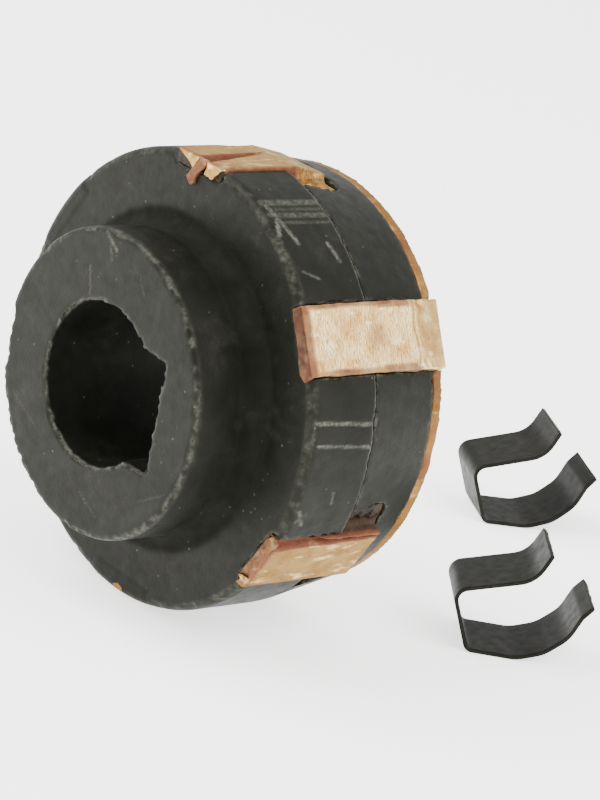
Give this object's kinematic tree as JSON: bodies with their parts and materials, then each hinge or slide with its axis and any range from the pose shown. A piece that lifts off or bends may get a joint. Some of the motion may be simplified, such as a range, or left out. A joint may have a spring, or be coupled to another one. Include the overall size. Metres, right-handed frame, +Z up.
{
  "type": "contact drum hub",
  "caption": "Black moulded contact drum on a slotted bore, with flat copper bars in its rim, a copper ring on its rear face and loose spring clips beside it.",
  "frame": {"origin": "on the bore's axis at the rear face", "axes": "bore along Y with the boss towards -Y and the rear face at y = 0, slot beside the bore towards +X, +Z up with the drum lying on the flat of its lowest bar"},
  "size_m": [0.0514, 0.0773, 0.0452],
  "materials": {
    "phenolic": "satin black moulding, worn on its edges",
    "copper": "hammered copper, dull pink, dark red at the edges",
    "spring_steel": "dark tempered spring steel",
    "screw_steel": "dull steel"
  },
  "bodies": {
    "drum": {"hub_moulding": "phenolic", "rear_moulding": "phenolic", "slip_ring": "copper", "link_ring": "copper", "ring_screw_1": "screw_steel", "ring_screw_2": "screw_steel", "ring_screw_3": "screw_steel", "long_bar_1": "copper", "long_bar_2": "copper", "long_bar_3": "copper", "short_bar_1": "copper", "short_bar_2": "copper", "short_bar_3": "copper"},
    "clip_1": {"clip_1_bow_arm": "spring_steel"},
    "clip_1_arm": {"clip_1_flat_arm": "spring_steel"},
    "clip_2": {"clip_2_bow_arm": "spring_steel"},
    "clip_2_arm": {"clip_2_flat_arm": "spring_steel"}
  },
  "joints": [
    {"name": "clip_1_slide", "type": "slide", "parent": "drum", "child": "clip_1", "axis": [0, 1, 0], "range_m": [0, 0.02]},
    {"name": "clip_1_flex", "type": "hinge", "parent": "clip_1", "child": "clip_1_arm", "pos_m": [-0.01251, 0.04097, -0.01584], "axis": [-0.8704, 0.4924, 0], "range_deg": [0, 20], "stiffness_Nm_per_rad": 0.4},
    {"name": "clip_2_slide", "type": "slide", "parent": "drum", "child": "clip_2", "axis": [0, 1, 0], "range_m": [0, 0.02]},
    {"name": "clip_2_flex", "type": "hinge", "parent": "clip_2", "child": "clip_2_arm", "pos_m": [0.01491, 0.01442, -0.01584], "axis": [-0.788, 0.6157, 0], "range_deg": [0, 20], "stiffness_Nm_per_rad": 0.4}
  ]
}
